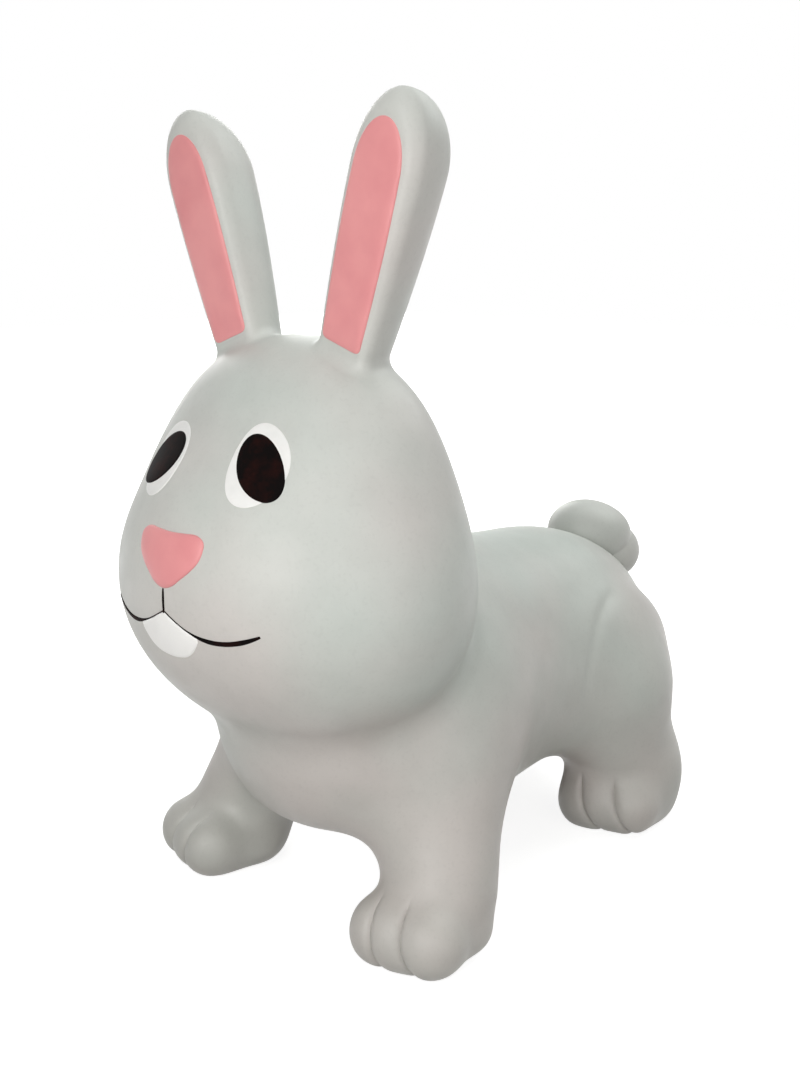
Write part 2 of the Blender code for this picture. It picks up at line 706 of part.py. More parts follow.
# Neck and head
neck = sleeve((neck_low, neck_normal), (neck_high, neck_normal), *NECK_MESH)
add_object("neck", neck, grey)
head_pivot = add_pivot("head_axis", tuple(neck_middle))
head_cuts = [(neck_high, -neck_normal)]
head_cuts += [(mirrored_x(ear_low, side), mirrored_x(ear_normal, side)) for side in (1, -1)]
head_shape = swollen((0, CHEEK_Y, CHEEK_Z), (0, CROWN_Y, CROWN_Z), *HEAD_MESH, head_cuts)
add_object("head", head_shape, grey, head_pivot)

# Ears
for side_name, side in (("left", 1), ("right", -1)):
    low = mirrored_x(ear_low, side)
    high = mirrored_x(ear_high, side)
    line = mirrored_x(ear_line, side)
    root = sleeve((low, mirrored_x(ear_normal, side)), (high, line), *EAR_ROOT_MESH)
    add_object(side_name + "_ear_root", root, grey, head_pivot)
    middle = (np.array(low) + np.array(high)) / 2
    ear_pivot = add_pivot(side_name + "_ear_axis", tuple(middle))
    ear_body = swollen(high, mirrored_x(ear_tip, side), *EAR_MESH, [(high, tuple(-np.array(line)))])
    add_object(side_name + "_ear", ear_body, grey, ear_pivot)
    panel = pad(ear_panel(side), GAP, INNER_EAR_THICKNESS, *INNER_EAR_MESH)
    add_object(side_name + "_inner_ear", panel, pink, ear_pivot)

# Face
second_coat = PAINT_THICKNESS + 2 * GAP
for side_name, side in (("left", 1), ("right", -1)):
    eye = ellipse(EYE_X * side, EYE_Z, WHITE_HALF_WIDTH, WHITE_HALF_HEIGHT, -WHITE_TILT * side)
    add_object(side_name + "_eye_white", pad(eye, GAP, PAINT_THICKNESS, *EYE_MESH), white, head_pivot)
    pupil_x = (EYE_X + PUPIL_OUT) * side
    eye = ellipse(pupil_x, EYE_Z - PUPIL_DOWN, PUPIL_HALF_WIDTH, PUPIL_HALF_HEIGHT, -PUPIL_TILT * side)
    add_object(side_name + "_pupil", pad(eye, second_coat, PAINT_THICKNESS, *EYE_MESH), black, head_pivot)
    share = np.linspace(0, 1, LINE_POINTS)
    reach = LINE_RADIUS + GAP / 2
    across = reach + (MOUTH_HALF_WIDTH - reach) * share
    sag = MOUTH_DROP * np.sin(np.minimum(share / MOUTH_LOW_AT, 1) * pi / 2)
    corner = MOUTH_CORNER_RISE * np.maximum(share / MOUTH_LOW_AT - 1, 0) ** 2
    over_tooth = np.clip((TOOTH_HALF_WIDTH + LINE_RISE - across) / LINE_RISE + 1, 0, 1)
    lift = GAP + second_coat * over_tooth
    painted_line(side_name + "_mouth_line", across * side, MOUTH_Z - sag + corner, lift)

nose_bottom = NOSE_TOP_Z - NOSE_HEIGHT
nose_corner = NOSE_HALF_WIDTH + NOSE_ROUND / 2
nose_outline = rounded(
    [(-nose_corner, NOSE_TOP_Z), (0, nose_bottom - NOSE_ROUND / 2), (nose_corner, NOSE_TOP_Z)], NOSE_ROUND
)
add_object("nose", pad(nose_outline, GAP, NOSE_THICKNESS, *NOSE_MESH), pink, head_pivot)

tooth_outline = rounded(
    [
        (0, TOOTH_TOP_Z),
        (-TOOTH_HALF_WIDTH, TOOTH_SHOULDER_Z),
        (-TOOTH_HALF_WIDTH + TOOTH_TAPER, TOOTH_BOTTOM_Z),
        (TOOTH_HALF_WIDTH - TOOTH_TAPER, TOOTH_BOTTOM_Z),
        (TOOTH_HALF_WIDTH, TOOTH_SHOULDER_Z),
    ],
    TOOTH_ROUND,
)
add_object("tooth", pad(tooth_outline, GAP, PAINT_THICKNESS, *TOOTH_MESH), white, head_pivot)

up = np.linspace(nose_bottom - LINE_RADIUS - GAP, MOUTH_Z + LINE_RADIUS * 2, LIP_POINTS)
painted_line("lip_line", np.zeros(LIP_POINTS), up, np.full(LIP_POINTS, GAP))

# Legs and paws
for name, (_, down, knee, ankle) in legs.items():
    shank = sleeve((ankle, (0, 0, 1)), (knee, -down), *LEG_MESH)
    add_object(name + "_leg", shank, grey)
    paw_pivot = add_pivot(name + "_paw_axis", tuple(ankle))
    paw_cuts = [(ankle, (0, 0, 1)), ((0, 0, -GAP / 2), (0, 0, -1))]
    heel = (ankle[0], ankle[1] + PAW_SPINE_BACK, PAW_SPINE_Z)
    toe = (ankle[0], ankle[1] - PAW_SPINE_FORE, PAW_SPINE_Z)
    paw = swollen(heel, toe, *PAW_MESH, paw_cuts)
    add_object(name + "_paw", paw, grey, paw_pivot)

# Tail
tail = swollen(UPPER_PUFF, LOWER_PUFF, *TAIL_MESH, [(tail_cut, -tail_normal)])
add_object("tail", tail, grey)
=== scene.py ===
from math import cos, pi, radians, sin

import bmesh
import bpy
import numpy as np
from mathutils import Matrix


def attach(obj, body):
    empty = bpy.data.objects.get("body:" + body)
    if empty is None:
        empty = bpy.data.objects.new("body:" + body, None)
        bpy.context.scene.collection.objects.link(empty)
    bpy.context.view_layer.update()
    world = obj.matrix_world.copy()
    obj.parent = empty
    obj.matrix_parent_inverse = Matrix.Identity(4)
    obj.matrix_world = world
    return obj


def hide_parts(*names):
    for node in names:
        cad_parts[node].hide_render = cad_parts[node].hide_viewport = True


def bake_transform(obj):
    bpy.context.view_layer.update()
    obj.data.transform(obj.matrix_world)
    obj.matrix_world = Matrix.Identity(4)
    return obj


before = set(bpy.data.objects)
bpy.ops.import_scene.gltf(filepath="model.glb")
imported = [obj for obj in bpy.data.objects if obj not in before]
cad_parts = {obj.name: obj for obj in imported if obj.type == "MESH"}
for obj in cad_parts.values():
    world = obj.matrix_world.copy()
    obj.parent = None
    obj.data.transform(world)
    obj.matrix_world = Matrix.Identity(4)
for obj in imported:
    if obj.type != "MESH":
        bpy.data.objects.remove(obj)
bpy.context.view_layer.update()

# The moulding
# The whole skin of the real hopper is one hollow moulding of soft grey PVC, turned in a heated
# mould until it coats the walls. Air holds it out, so each part of it is a swollen lobe that runs
# into the next. All lengths are metres, the animal faces -Y and its left side is +X.


def lobe(points, middle, half):
    """Distance to an ellipsoid: the radius scaled by its half sizes less one, brought back to metres."""
    scaled = (points - np.array(middle)) / np.array(half)
    near = np.sqrt(np.einsum("...i,...i", scaled, scaled))
    steeper = scaled / np.array(half)
    steep = np.sqrt(np.einsum("...i,...i", steeper, steeper))
    return near * (near - 1) / np.maximum(steep, 1e-9)


def limb(points, start, end, start_radius, end_radius):
    """Distance to a tapered round bar: distance to its middle line less the radius there."""
    start = np.array(start)
    along = np.array(end) - start
    share = np.clip((points - start) @ along / (along @ along), 0, 1)
    away = points - start - share[..., None] * along
    return np.sqrt(np.einsum("...i,...i", away, away)) - start_radius - (end_radius - start_radius) * share


def joined(a, b, blend):
    """Two forms run together: the lower value, less a quarter of blend times the squared nearness of
    the two."""
    near = np.maximum(blend - np.abs(a - b), 0) / blend
    return np.minimum(a, b) - near * near * blend / 4


def trimmed(a, b, rounding):
    """What two forms share, with a rounded edge: the joining of their outsides, turned inside out."""
    return -joined(-a, -b, rounding)


def barrel(points):
    """Chest and rump lobes run together, with the belly flattened."""
    chest = lobe(points, (0, -0.072, 0.147), (0.107, 0.1155, 0.1115))
    rump = lobe(points, (0, 0.089, 0.1395), (0.092, 0.1515, 0.098))
    return trimmed(joined(chest, rump, 0.080), 0.050 - points[..., 2], 0.040)


def skull(points):
    """A narrow crown lobe over a wide cheek lobe, with a broad muzzle lobe run into their front."""
    crown = lobe(points, (0, -0.134, 0.3465), (0.085, 0.0415, 0.0535))
    cheeks = lobe(points, (0, -0.1435, 0.240), (0.136, 0.099, 0.103))
    muzzle = lobe(points, (0, -0.202, 0.256), (0.060, 0.032, 0.047))
    return joined(joined(crown, cheeks, 0.100), muzzle, 0.052)


def eased(start, end, value):
    """Nought before start, one past end, and between them three times the squared share of the way less
    twice its cube."""
    share = np.clip((value - start) / (end - start), 0, 1)
    return share * share * (3 - 2 * share)


toe_blend = 0.008
crease_depth = 0.0034
crease_width = 0.0024


def foot(points, foot_x, foot_y, turn, creases):
    """A low pad run into a block of three toes, in axes turned outwards by the angle. Each crease
    between two toes starts at its own place across the foot and swings outwards with the square of the
    way down; the skin falls into it by an exponential of the distance, which leaves a sharp fold, only
    on the front of the toes."""
    turn = radians(turn)
    dx = points[..., 0] - foot_x
    dy = points[..., 1] - foot_y
    own = np.stack([cos(turn) * dx + sin(turn) * dy, cos(turn) * dy - sin(turn) * dx, points[..., 2]], -1)
    inner = lobe(own, (-0.022, -0.031, 0.022), (0.0205, 0.024, 0.0235))
    middle = lobe(own, (-0.0075, -0.033, 0.022), (0.0205, 0.024, 0.0235))
    outer = lobe(own, (0.0135, -0.033, 0.022), (0.025, 0.024, 0.0235))
    toes = joined(joined(inner, middle, toe_blend), outer, toe_blend)
    block = joined(lobe(own, (0, 0, 0.014), (0.040, 0.031, 0.019)), toes, 0.016)
    front = eased(-0.018, -0.038, own[..., 1])
    below = eased(0.052, 0.036, own[..., 2])
    fall = 0
    for across, swing in creases:
        crease_x = across + swing * (np.maximum(0.043 - own[..., 2], 0) / 0.031) ** 2
        fall = fall + np.exp(-np.abs(own[..., 0] - crease_x) / crease_width)
    return block, crease_depth * fall * front * below


rear_foot = (0.0755, 0.145)
front_foot = (0.0995, -0.115)
foot_blend = 0.015


def hind_leg(points):
    """Haunch, shank and heel run together, then joined to the foot and creased."""
    haunch = lobe(points, (0.0665, 0.119, 0.133), (0.032, 0.0885, 0.058))
    shank = limb(points, (0.0745, 0.129, 0.110), (*rear_foot, 0.030), 0.0455, 0.0415)
    heel = lobe(points, (rear_foot[0], 0.157, 0.0395), (0.045, 0.036, 0.045))
    leg = joined(joined(haunch, shank, 0.0415), heel, 0.020)
    block, creases = foot(points, *rear_foot, 22, [(-0.0205, 0.0095), (0.0055, 0.0090)])
    return joined(leg, block, foot_blend) + creases


def fore_leg(points):
    """A tapered shank from the shoulder to the ankle, joined to the foot and creased."""
    shank = limb(points, (0.0695, -0.0625, 0.1495), (front_foot[0], -0.1075, 0.040), 0.0395, 0.039)
    block, creases = foot(points, *front_foot, 16, [(-0.0205, 0.0045), (0.0005, 0.0065)])
    return joined(shank, block, foot_blend) + creases


fold_middle = (0.128, 0.126)
fold_radius = 0.067
fold_width = 0.0050
fold_depth = 0.0014


def haunch_fold(points):
    """How far the skin falls into the soft fold that rings the haunch in front and above, seen from the
    side: a bell curve over the distance to a circle, faded out behind, below and towards the middle."""
    across, along, height = (points[..., k] for k in range(3))
    ring = np.hypot(along - fold_middle[0], height - fold_middle[1])
    fade = eased(0.140, 0.105, along) * eased(0.112, 0.152, height) * eased(0.055, 0.075, across)
    return fold_depth * fade * np.exp(-((ring - fold_radius) / fold_width) ** 2)


sole_z = -0.0015


def skin(points):
    """Below zero inside the animal without ears and tail: both sides alike, soles flat just under the
    floor."""
    points = points * 1.0
    points[..., 0] = np.abs(points[..., 0])
    whole = joined(barrel(points), hind_leg(points), 0.020) + haunch_fold(points)
    whole = joined(whole, fore_leg(points), 0.040)
    whole = joined(whole, skull(points), 0.020)
    return trimmed(whole, sole_z - points[..., 2], 0.006)


def blown(starts, directions, shape, reach):
    """Where rays from inside leave a shape: walked outwards in even steps, then halved down to the
    skin."""
    steps = np.linspace(0, reach, 46)
    near = np.zeros(len(starts))
    far = np.full(len(starts), reach)
    inside = np.ones(len(starts), bool)
    for last, step in zip(steps, steps[1:]):
        out = inside.copy()
        out[inside] = shape(starts[inside] + step * directions[inside]) > 0
        far[out] = step
        near[out] = last
        inside &= ~out
        if not inside.any():
            break
    for _ in range(15):
        middle = (near + far) / 2
        out = shape(starts + middle[:, None] * directions) > 0
        far = np.where(out, middle, far)
        near = np.where(out, near, middle)
    return starts + far[:, None] * directions


def outwards(points, shape):
    """The unit slope of a shape, from differences 0.1 mm either side along each axis."""
    nudges = np.eye(3) * 0.0001
    slope = np.stack([shape(points + nudge) - shape(points - nudge) for nudge in nudges], -1)
    return slope / np.maximum(np.linalg.norm(slope, axis=-1, keepdims=True), 1e-12)


def bag_faces(rings, columns):
    """Faces of a closed bag of rings: squares between neighbours, and fans to the two end points."""
    here = np.arange(columns)
    after = (here + 1) % columns
    low = np.arange(rings - 1)[:, None] * columns
    squares = np.stack([low + here, low + after, low + columns + after, low + columns + here], -1)
    first = np.full(columns, rings * columns)
    top = (rings - 1) * columns
    return (
        squares.reshape(-1, 4).tolist()
        + np.stack([first, after, here], -1).tolist()
        + np.stack([first + 1, top + here, top + after], -1).tolist()
    )


def blown_ball(start, end, columns, rings, shape, reach):
    """A bag blown out from a middle line: the point at angle v from the line and u round it starts at
    the line's middle plus half its length times cos v, and goes out along its own direction to the
    skin."""
    start, end = np.array(start, float), np.array(end, float)
    half = (end - start) / 2
    axis = half / np.linalg.norm(half)
    side = np.cross(axis, (1.0, 0, 0) if abs(axis[0]) < 0.8 else (0, 1.0, 0))
    side /= np.linalg.norm(side)
    front = np.cross(axis, side)
    u = np.linspace(0, 2 * pi, columns, endpoint=False)
    v = np.linspace(0, pi, rings + 2)[1:-1, None]
    round_it = np.cos(u)[:, None] * side + np.sin(u)[:, None] * front
    directions = np.cos(v)[..., None] * axis + np.sin(v)[..., None] * round_it
    directions = np.vstack([directions.reshape(-1, 3), [axis, -axis]])
    starts = (start + end) / 2 + (directions @ axis)[:, None] * half
    return blown(starts, directions, shape, reach), bag_faces(rings, columns)


def new_mesh(name, points, faces):
    """A mesh from arrays, turned so that the summed volume under its faces is above zero."""
    mesh = bpy.data.meshes.new(name)
    mesh.from_pydata(points.tolist(), [], faces)
    triangles = np.empty((len(mesh.loop_triangles), 3), int)
    mesh.loop_triangles.foreach_get("vertices", triangles.ravel())
    a, b, c = (points[triangles[:, k]] for k in range(3))
    if np.einsum("ij,ij", a, np.cross(b, c)) < 0:
        mesh.flip_normals()
    return mesh


def mesh_points(mesh):
    """The places of a mesh's vertices, one row each."""
    points = np.empty(len(mesh.vertices) * 3)
    mesh.vertices.foreach_get("co", points)
    return points.reshape(-1, 3)


def cut_at(mesh, planes, shape):
    """Cuts a mesh at planes (a point and a normal out of the piece) and closes each cut with a flat
    face. The cut's edge slides inside its plane onto the skin: less the value over the slope within the
    plane."""
    work = bmesh.new()
    work.from_mesh(mesh)
    for point, normal in planes:
        everything = work.verts[:] + work.edges[:] + work.faces[:]
        bmesh.ops.bisect_plane(
            work, geom=everything, dist=1e-7, plane_co=tuple(point), plane_no=tuple(normal), clear_outer=True
        )
        bmesh.ops.holes_fill(work, edges=[edge for edge in work.edges if edge.is_boundary])
    work.to_mesh(mesh)
    work.free()
    points = mesh_points(mesh)
    for point, normal in planes:
        point, normal = np.array(point, float), np.array(normal, float)
        edge = np.abs((points - point) @ normal) < 1e-6
        rim = points[edge]
        for _ in range(5):
            slope = outwards(rim, shape)
            slope -= (slope @ normal)[:, None] * normal
            step = shape(rim) / np.maximum(np.einsum("ij,ij->i", slope, slope), 0.05)
            rim = rim - np.clip(step, -0.002, 0.002)[:, None] * slope
        points[edge] = rim
    mesh.vertices.foreach_set("co", points.ravel())
    mesh.update()


def show(name, mesh, shape, material, node_slot, *nodes):
    """Puts a finished mesh into the scene for its CAD nodes; its shading follows the true slope of its
    shape."""
    mesh.polygons.foreach_set("use_smooth", np.ones(len(mesh.polygons), bool))
    if shape is not None:
        mesh.normals_split_custom_set_from_vertices(outwards(mesh_points(mesh), shape).tolist())
    mesh.materials.append(material)
    piece = bpy.data.objects.new(name, mesh)
    bpy.context.scene.collection.objects.link(piece)
    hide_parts(*nodes)
    return piece


def mirrored(mesh, name):
    """The same mesh on the animal's other side: x changes sign and the faces turn over."""
    copy = mesh.copy()
    copy.name = name
    points = mesh_points(copy)
    points[:, 0] *= -1
    copy.vertices.foreach_set("co", points.ravel())
    copy.flip_normals()
    return copy


def node(tree, kind, **settings):
    """A shader node; a setting whose name is a socket goes to that socket, any other to the node
    itself."""
    made = tree.nodes.new(kind)
    for key, value in settings.items():
        socket = key.replace("_", " ")
        if socket in made.inputs:
            made.inputs[socket].default_value = value
        else:
            setattr(made, key, value)
    return made


def noise_on(tree, scale, detail, roughness=0.5):
    """Noise on the object's own metres: scale is how many blotches there are in a metre."""
    place = tree.nodes.get("place") or node(tree, "ShaderNodeTexCoord", name="place")
    noise = node(tree, "ShaderNodeTexNoise", Scale=scale, Detail=detail, Roughness=roughness)
    tree.links.new(place.outputs["Object"], noise.inputs["Vector"])
    return noise.outputs["Fac"]


def ramp(tree, value, stops):
    """A colour ramp from a list of (position, colour or grey level)."""
    made = node(tree, "ShaderNodeValToRGB")
    elements = made.color_ramp.elements
    while len(elements) < len(stops):
        elements.new(0.5)
    for element, (position, colour) in zip(elements, stops):
        element.position = position
        element.color = (*colour, 1) if isinstance(colour, tuple) else (colour, colour, colour, 1)
    tree.links.new(value, made.inputs["Fac"])
    return made.outputs["Color"]


def mixed(tree, blend, share, a, b):
    """Two colours mixed in a blend mode; the share is a number or a socket."""
    made = node(tree, "ShaderNodeMix", data_type="RGBA", blend_type=blend)
    for socket, value in ((made.inputs[0], share), (made.inputs[6], a), (made.inputs[7], b)):
        if isinstance(value, bpy.types.NodeSocket):
            tree.links.new(value, socket)
        else:
            socket.default_value = value
    return made.outputs[2]


def bumps(tree, layers):
    """Bumps laid over each other: each layer is a height, its depth in metres, and its strength."""
    normal = None
    for height, depth, strength in layers:
        bump = node(tree, "ShaderNodeBump", Strength=strength, Distance=depth)
        tree.links.new(height, bump.inputs["Height"])
        if normal is not None:
            tree.links.new(normal, bump.inputs["Normal"])
        normal = bump.outputs["Normal"]
    return normal


def finish(name, roughness, specular):
    """A new material: its node tree and its shader, with the even values set on the shader's sockets."""
    material = bpy.data.materials.new(name)
    material.use_nodes = True
    tree = material.node_tree
    shader = tree.nodes["Principled BSDF"]
    shader.inputs["Roughness"].default_value = roughness
    shader.inputs["Specular IOR Level"].default_value = specular
    return material, tree, shader


# Matte PVC: greys that drift from cool to warm in hand-sized clouds, with painted shade that makes them
# warmer and a little darker low down, fine specks, a skin that is very slightly wavy where the air holds it,
# and the fine grain of the mould.
grey_pvc, tree, shader = finish("soft_grey_pvc", 0.5, 0.5)
clouds_and_low_shade = ramp(tree, noise_on(tree, 7, 2), [(0.35, (0.560, 0.600, 0.565)), (0.65, (0.615, 0.595, 0.570))])
specks = ramp(tree, noise_on(tree, 420, 2), [(0.30, 0.93), (0.45, 1.0)])
smudges = ramp(tree, noise_on(tree, 38, 5, 0.6), [(0.30, 0.95), (0.60, 1.0)])
height = node(tree, "ShaderNodeSeparateXYZ")
tree.links.new(node(tree, "ShaderNodeTexCoord").outputs["Object"], height.inputs[0])
# Painted shade: the grey turns warmer and a little darker towards the floor, where less light reaches.
painted_low_shade = ramp(tree, height.outputs["Z"], [(0.0, (0.91, 0.875, 0.865)), (0.26, (1.0, 1.0, 1.0))])
clouds_and_low_shade = mixed(tree, "MULTIPLY", 1.0, clouds_and_low_shade, painted_low_shade)
colour = mixed(tree, "MULTIPLY", 0.5, mixed(tree, "MULTIPLY", 1.0, clouds_and_low_shade, smudges), specks)
tree.links.new(colour, shader.inputs["Base Color"])
sheen = ramp(tree, noise_on(tree, 60, 4), [(0.3, 0.40), (0.7, 0.50)])
tree.links.new(sheen, shader.inputs["Roughness"])
grain = bumps(tree, [(noise_on(tree, 22, 1), 0.0015, 0.12), (noise_on(tree, 1300, 2), 0.00006, 0.5)])
tree.links.new(grain, shader.inputs["Normal"])

# Barrel of the body
# The part that the child sits on: the inflated barrel of soft PVC with shoulders and haunches. Here
# it is divided from the neck and the legs where the soft skin bends, at places that don't show.
fine = 1.0


def count(number):
    return max(int(number * fine) // 2 * 2, 8)


neck_slope = radians(36)
neck_normal = np.array([0, -sin(neck_slope), cos(neck_slope)])
neck_middle = np.array([0, -0.1145, 0.196])
half_neck = 0.013
neck_low = neck_middle - neck_normal * half_neck
neck_high = neck_middle + neck_normal * half_neck

hip_tilt = radians(40)
hip_turn = radians(16)
hip_x = 0.035
hip_z = 0.072
ankle_z = 0.046
hips = {}
for end, (foot_x, foot_y), lean in (("front", front_foot, -1), ("rear", rear_foot, 1)):
    down = np.array([sin(hip_tilt) * cos(hip_turn), lean * sin(hip_turn), -cos(hip_tilt) * cos(hip_turn)])
    hip = np.array([hip_x, foot_y, hip_z])
    ankle = np.array([foot_x, foot_y, ankle_z])
    knee = np.array([foot_x, foot_y, hip_z + down[0] * (foot_x - hip_x) / -down[2]])
    hips[end] = (hip, down, knee, ankle)

valve_y = 0.0185
belly_z = blown(np.array([[0, valve_y, 0.14]]), np.array([[0, 0, -1.0]]), skin, 0.2)[0, 2]
flip_x = np.array([-1.0, 1, 1])
past_cut = 0.010
body_cuts = [(neck_low, neck_normal)]
for hip, down, _, _ in hips.values():
    body_cuts += [(hip, down), (hip * flip_x, down * flip_x)]


def kept_short(shape, cuts):
    """The same shape, ended a little beyond its cuts: the greater of its value and the distance past a
    cut."""

    def ended(points):
        value = shape(points)
        for point, normal in cuts:
            value = np.maximum(value, (points - point) @ normal - past_cut)
        return value

    return ended


points, faces = blown_ball(
    (0, -0.042, 0.147), (0, 0.129, 0.1395), count(300), count(220), kept_short(skin, body_cuts), 0.30
)
body = new_mesh("body_skin", points, faces)
cut_at(body, body_cuts, skin)
points = mesh_points(body)
out_of_valve = np.hypot(points[:, 0], points[:, 1] - valve_y)
pocket_radius = 0.0130
pocket_edge = 0.0015
pocket_depth = 0.0135
on_belly = points[:, 2] < belly_z + 0.030
pocket = np.clip((pocket_radius - out_of_valve) / pocket_edge, 0, 1) * on_belly
points[:, 2] += pocket_depth * pocket
piece = show("body_skin", body, skin, grey_pvc, "grey_skin", "torso")
body.vertices.foreach_set("co", points.ravel())
body.update()
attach(piece, "torso")

# Valve seat and air stopper
# Underneath sits a moulded PVC ring that the pump goes into, welded into the belly. A stopper with
# a flat head and a ribbed stem is pushed into it.


def coat(name, roughness, specular, blotches, tints, grain, grain_depth, grain_strength):
    """A material for one even coat: its colour drifts between tints in blotches, and it has a fine grain.
    The blotches and the grain are each what noise_on takes: a scale, a detail and perhaps a roughness."""
    material, tree, shader = finish(name, roughness, specular)
    tree.links.new(ramp(tree, noise_on(tree, *blotches), tints), shader.inputs["Base Color"])
    grained = bumps(tree, [(noise_on(tree, *grain), grain_depth, grain_strength)])
    tree.links.new(grained, shader.inputs["Normal"])
    return material, tree, shader


valve_tints = [(0.35, (0.43, 0.44, 0.43)), (0.65, (0.50, 0.50, 0.49))]
valve_grey, tree, shader = coat(
    "moulded_valve_plastic", 0.45, 0.5, (90, 3), valve_tints, (1500, 2), 0.00004, 0.5
)
scuffs = ramp(tree, noise_on(tree, 300, 4), [(0.35, 0.36), (0.65, 0.52)])
tree.links.new(scuffs, shader.inputs["Roughness"])


def turned_ring(name, profile, columns):
    """A closed profile of (radius, height) carried round the valve's axis; it may touch the axis."""
    profile = np.array(profile)
    turn = np.linspace(0, 2 * pi, columns, endpoint=False)[:, None]
    radius, height = profile.T
    heights = np.tile(height, (columns, 1))
    grid = np.stack([radius * np.cos(turn), valve_y + radius * np.sin(turn), heights], -1)
    rows = len(profile)
    here = np.arange(columns)[:, None] * rows
    there = (np.arange(columns)[:, None] + 1) % columns * rows
    k = np.arange(rows)
    after = (k + 1) % rows
    squares = np.stack([here + k, there + k, there + after, here + after], -1).reshape(-1, 4)
    work = bmesh.new()
    made = new_mesh(name, grid.reshape(-1, 3), squares.tolist())
    work.from_mesh(made)
    bmesh.ops.remove_doubles(work, verts=work.verts, dist=1e-6)
    bmesh.ops.dissolve_degenerate(work, edges=work.edges, dist=1e-6)
    bmesh.ops.recalc_face_normals(work, faces=work.faces)
    work.to_mesh(made)
    work.free()
    made.set_sharp_from_angle(angle=radians(40))
    return made


seat_z = belly_z - 0.002
seat_profile = [
    (0.0050, 0.0120), (0.0050, 0.0036), (0.0054, 0.0033), (0.0094, 0.0033), (0.0094, 0.0006),
    (0.0098, 0.0001), (0.0106, 0.0), (0.0128, 0.0), (0.0140, 0.0003), (0.0147, 0.0010), (0.0150, 0.0022),
    (0.0150, 0.0120),
]
seat = turned_ring("valve_seat_ring", [(r, seat_z + z) for r, z in seat_profile], count(96))
piece = show("valve_seat_ring", seat, None, valve_grey, "valve_plastic", "valve_seat")
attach(piece, "torso")
stopper_profile = [
    (0.0, 0.0006), (0.0040, 0.0006), (0.0046, 0.0), (0.0082, 0.0), (0.0088, 0.0004), (0.0090, 0.0011),
    (0.0090, 0.0026), (0.0087, 0.0030), (0.0046, 0.0030), (0.0044, 0.0050), (0.0046, 0.0056),
    (0.0044, 0.0062), (0.0043, 0.0076), (0.0045, 0.0082), (0.0042, 0.0092), (0.0036, 0.0100), (0.0, 0.0100),
]
stopper = turned_ring("push_in_stopper", [(r, seat_z + z) for r, z in stopper_profile], count(72))
piece = show("push_in_stopper", stopper, None, valve_grey, "valve_plastic", "air_stopper")
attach(piece, "air_stopper")

# Neck
# The soft fold between body and head. It is the same skin, pressed in where two lobes meet, and it
# lets the head nod when the hopper bounces.
tuck = 0.0008
tuck_sink = 0.0003


def sleeve(low, high, columns, rings, shape, reach):
    """Rings of skin in planes that turn evenly from the low to the high one, blown out from the line
    between them. One more ring at each end slips 0.8 mm under the neighbour, 0.3 mm below the skin."""
    (low_point, low_normal), (high_point, high_normal) = low, high
    share = np.linspace(0, 1, rings)[:, None]
    normals = (1 - share) * low_normal + share * high_normal
    levels = (1 - share[:, 0]) * (low_normal @ low_point) + share[:, 0] * (high_normal @ high_point)
    along = high_point - low_point
    centres = low_point + along * ((levels - normals @ low_point) / (normals @ along))[:, None]
    normals /= np.linalg.norm(normals, axis=1, keepdims=True)
    sides = np.cross(normals, (0, 1.0, 0))
    sides /= np.linalg.norm(sides, axis=1, keepdims=True)
    fronts = np.cross(normals, sides)
    u = np.linspace(0, 2 * pi, columns, endpoint=False)[:, None]
    directions = (np.cos(u) * sides[:, None] + np.sin(u) * fronts[:, None]).reshape(-1, 3)
    rows = blown(np.repeat(centres, columns, axis=0), directions, shape, reach).reshape(rings, columns, 3)
    under_low = rows[0] - low_normal * tuck - outwards(rows[0], shape) * tuck_sink
    under_high = rows[-1] + high_normal * tuck - outwards(rows[-1], shape) * tuck_sink
    points = np.vstack([under_low, rows.reshape(-1, 3), under_high, [centres[0], centres[-1]]])
    return points, bag_faces(rings + 2, columns)


points, faces = sleeve((neck_low, neck_normal), (neck_high, neck_normal), count(320), count(28), skin, 0.2)
piece = show("neck_fold", new_mesh("neck_fold", points, faces), skin, grey_pvc, "grey_skin", "neck")
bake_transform(piece)

# Legs
# Four soft hollow shanks of the same skin, moulded in one with the body above and the foot below.
# They give under the child's weight and spring back. Below each hip a reach of at least the least_bend is
# worked out, and nothing uses it.
least_bend = 0.027
upright = np.array([0, 0, 1.0])
columns = count(220)
for end, (hip, down, knee, ankle) in hips.items():
    points, faces = sleeve((ankle, upright), (knee, -down), columns, count(64), skin, 0.12)
    shank = new_mesh(f"{end}_left_shank", points, faces)
    ankle_ring = points[columns: 2 * columns]
    reach_down = max(((ankle_ring - hip) @ down).min(), least_bend)
    for side, flip in (("left", np.ones(3)), ("right", flip_x)):
        mesh = shank if side == "left" else mirrored(shank, f"{end}_right_shank")
        piece = show(f"{end}_{side}_shank", mesh, skin, grey_pvc, "grey_skin", f"{end}_{side}_leg")
        bend_start, bend_end = hip * flip, (hip + down * reach_down) * flip
        tuple(bend_start)
        tuple(bend_end)
        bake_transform(piece)

# Paws
# Each foot is moulded with the leg: a low rounded block with three toes, parted by two folds, on a
# flat sole.
for end, (hip, down, knee, ankle) in hips.items():
    cuts = [(ankle, upright)]
    heel = (ankle[0], ankle[1] + 0.004, 0.020)
    toe = (ankle[0], ankle[1] - 0.022, 0.020)
    points, faces = blown_ball(heel, toe, count(300), count(190), kept_short(skin, cuts), 0.11)
    paw = new_mesh(f"{end}_left_paw_skin", points, faces)
    cut_at(paw, cuts, skin)
    points = mesh_points(paw)
    points[:, 2] = np.maximum(points[:, 2], 0)
    paw.vertices.foreach_set("co", points.ravel())
    paw.update()
    for side in ("left", "right"):
        mesh = paw if side == "left" else mirrored(paw, f"{end}_right_paw_skin")
        piece = show(f"{end}_{side}_paw_skin", mesh, skin, grey_pvc, "grey_skin", f"{end}_{side}_paw")
        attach(piece, f"{end}_{side}_paw")

# Tail
# A short tail, moulded in the same PVC as three puffs folded against each other. It stands on the
# rump, a little to one side of the middle.


